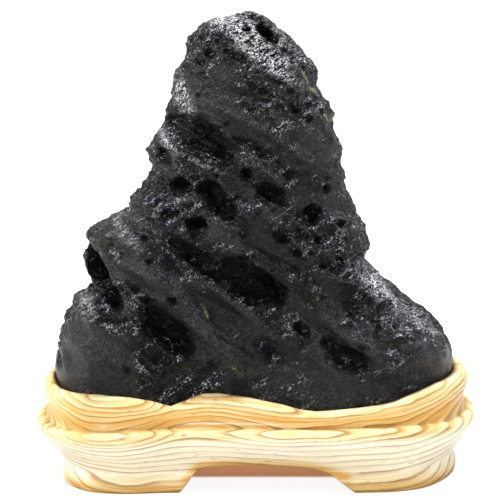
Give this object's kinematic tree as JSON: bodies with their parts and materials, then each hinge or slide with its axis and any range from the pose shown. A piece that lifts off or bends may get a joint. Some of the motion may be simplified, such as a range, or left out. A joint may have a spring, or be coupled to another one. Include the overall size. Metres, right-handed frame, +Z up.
{
  "type": "scholars rock on a fitted wooden stand",
  "caption": "Black pitted viewing stone, peaked and leaning in dipping beds, seated in a carved pale wooden stand with a wavy collar and short feet.",
  "frame": {"origin": "bottom centre of the bounding box, on the plane that the feet stand on", "axes": "+Z up; the side seen in the picture faces -Y; the length of the stand runs along X"},
  "size_m": [0.2236, 0.105, 0.2382],
  "materials": {
    "stone": "dark, oiled, satin to wet gloss, with sparkling rough hollows",
    "wood": "pale wood with strong orange-brown growth lines, satin varnish"
  },
  "bodies": {
    "root": {"rock": "stone", "stand": "wood"}
  },
  "joints": []
}
